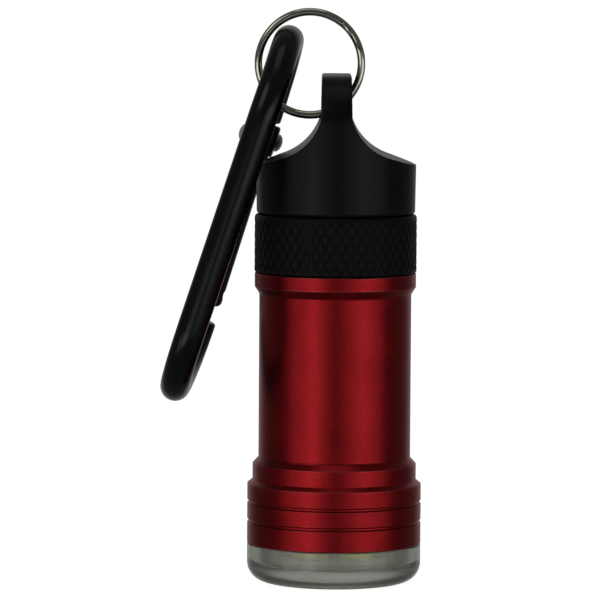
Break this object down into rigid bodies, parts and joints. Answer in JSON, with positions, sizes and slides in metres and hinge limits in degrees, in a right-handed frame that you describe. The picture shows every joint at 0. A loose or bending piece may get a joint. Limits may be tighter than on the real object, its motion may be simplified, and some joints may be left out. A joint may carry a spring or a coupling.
{
  "type": "keychain flashlight",
  "caption": "Small aluminium LED flashlight with a clear front lens, a screw-on lugged tail, a split ring and a mini carabiner.",
  "frame": {"origin": "centre of the lens's flat front face, on which the light stands", "axes": "+Z along the barrel from the lens to the tail lug; X across the lug, along its hole, with the carabiner on the -X side; Y along the lug's width, the carabiner's gate on the +Y side"},
  "size_m": [0.0357, 0.0272, 0.0782],
  "materials": {
    "red_anodised_aluminium": "satin red anodise",
    "black_anodised_aluminium": "satin black anodise",
    "black_gloss_aluminium": "gloss black anodise",
    "clear_acrylic": "polished clear acrylic",
    "black_rubber": "matt",
    "bright_reflector": "mirror",
    "led_epoxy": "clear epoxy over yellow phosphor",
    "circuit_board": "white solder resist",
    "resistor_body": "fired black",
    "brass": "bright",
    "white_plastic": "moulded satin",
    "cell_steel": "bright nickel-plated steel",
    "spring_steel": "bright",
    "nickel_steel": "nickel-plated spring steel"
  },
  "bodies": {
    "barrel": {"barrel": "red_anodised_aluminium", "front_lens": "clear_acrylic", "lens_gasket": "black_rubber", "reflector": "bright_reflector", "led_1": "led_epoxy", "led_2": "led_epoxy", "led_3": "led_epoxy", "led_4": "led_epoxy", "led_5": "led_epoxy", "led_6": "led_epoxy", "led_7": "led_epoxy", "led_board": "circuit_board", "ballast_resistor": "resistor_body", "front_contact": "brass", "battery_sleeve": "white_plastic", "button_cell_1": "cell_steel", "button_cell_2": "cell_steel", "button_cell_3": "cell_steel", "button_cell_4": "cell_steel", "neck_o_ring": "black_rubber"},
    "spring": {"tail_spring": "spring_steel"},
    "tail": {"knurled_collar": "black_anodised_aluminium", "tail_lug_cap": "black_anodised_aluminium"},
    "ring": {"split_ring": "nickel_steel"},
    "carabiner": {"carabiner_frame": "black_gloss_aluminium", "gate_rivet": "spring_steel"},
    "gate": {"gate": "black_gloss_aluminium", "latch_pin": "spring_steel", "gate_plunger": "spring_steel", "gate_spring": "spring_steel"}
  },
  "joints": [
    {"name": "tail_travel", "type": "slide", "parent": "barrel", "child": "spring", "axis": [0, 0, 1], "range_m": [0, 0.005], "deforming": ["tail_spring"]},
    {"name": "tail_twist", "type": "hinge", "parent": "spring", "child": "tail", "pos_m": [0, 0, 0.045], "axis": [0, 0, 1], "range_deg": [0, 1800]},
    {"name": "ring_swing", "type": "hinge", "parent": "tail", "child": "ring", "pos_m": [0, 0, 0.0656], "axis": [1, 0, 0], "range_deg": [-7, 15]},
    {"name": "carabiner_swing", "type": "hinge", "parent": "ring", "child": "carabiner", "pos_m": [-0.00671, 0, 0.07365], "axis": [0, 1, 0], "range_deg": [0, 180]},
    {"name": "gate_hinge", "type": "hinge", "parent": "carabiner", "child": "gate", "pos_m": [-0.01038, 0.0102, 0.06014], "axis": [-0.9513, 0.0516, 0.304], "range_deg": [0, 42], "stiffness_Nm_per_rad": 0.03, "springref_deg": -17.19}
  ],
  "couplings": [
    {"joint": "tail_twist", "follows": "tail_travel", "rad_per_m": 6283.2}
  ]
}
